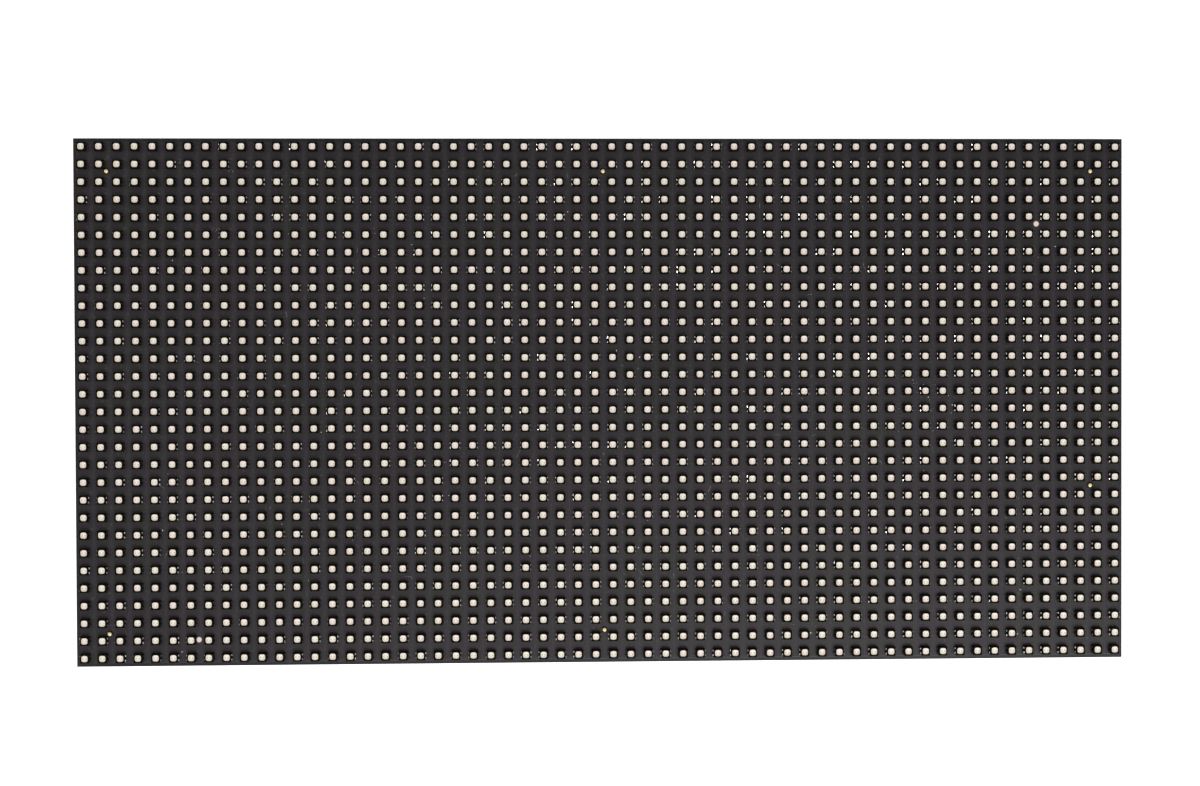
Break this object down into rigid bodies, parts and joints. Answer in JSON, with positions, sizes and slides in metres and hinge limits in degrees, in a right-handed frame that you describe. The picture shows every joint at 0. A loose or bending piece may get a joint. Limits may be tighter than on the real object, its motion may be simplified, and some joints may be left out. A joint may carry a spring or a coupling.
{
  "type": "led dot matrix",
  "caption": "Flat full-colour lamp panel: a black board with a dense square grid of lamps with warm white windows, on a moulded rear frame with cable headers.",
  "frame": {"origin": "middle of the rear face, on which the panel lies", "axes": "+Z the way the lamps look, +X along the long side, +Y to the edge that is the top when the panel hangs"},
  "size_m": [0.3198, 0.1598, 0.0147],
  "materials": {
    "solder_mask": "semi-gloss black solder mask over copper tracks",
    "lamp_black": "matt black moulded lamp body",
    "lamp_window": "warm white cup under clear filling",
    "bare_pad": "tinned pad with a thin bare rim",
    "frame_plastic": "fine-textured black moulding with glass fibre",
    "brass": "turned brass",
    "screw_steel": "zinc plated steel",
    "chip_black": "matt black chip package",
    "shroud_black": "black moulded shroud",
    "gold_pin": "gold flashed pin",
    "header_white": "natural white nylon",
    "tin_pin": "tinned pin",
    "can_aluminium": "bare drawn can",
    "can_base": "black moulded base",
    "ceramic": "fired ceramic with tinned ends",
    "resistor_black": "glazed resistor with tinned ends"
  },
  "bodies": {
    "root": {"circuit_board": "solder_mask", "lamp_bodies_upper": "lamp_black", "lamp_bodies_lower": "lamp_black", "lamp_windows_upper": "lamp_window", "lamp_windows_lower": "lamp_window", "alignment_marks": "bare_pad", "rear_frame": "frame_plastic", "board_standoffs": "brass", "frame_screws": "screw_steel", "mounting_inserts": "brass", "column_drivers": "chip_black", "row_switches": "chip_black", "row_decoders": "chip_black", "line_buffers": "chip_black", "input_header": "shroud_black", "input_pins": "gold_pin", "output_header": "shroud_black", "output_pins": "gold_pin", "power_header": "header_white", "power_terminals": "tin_pin", "capacitor_cans": "can_aluminium", "capacitor_bases": "can_base", "bypass_capacitors": "ceramic", "current_resistors": "resistor_black"}
  },
  "joints": []
}
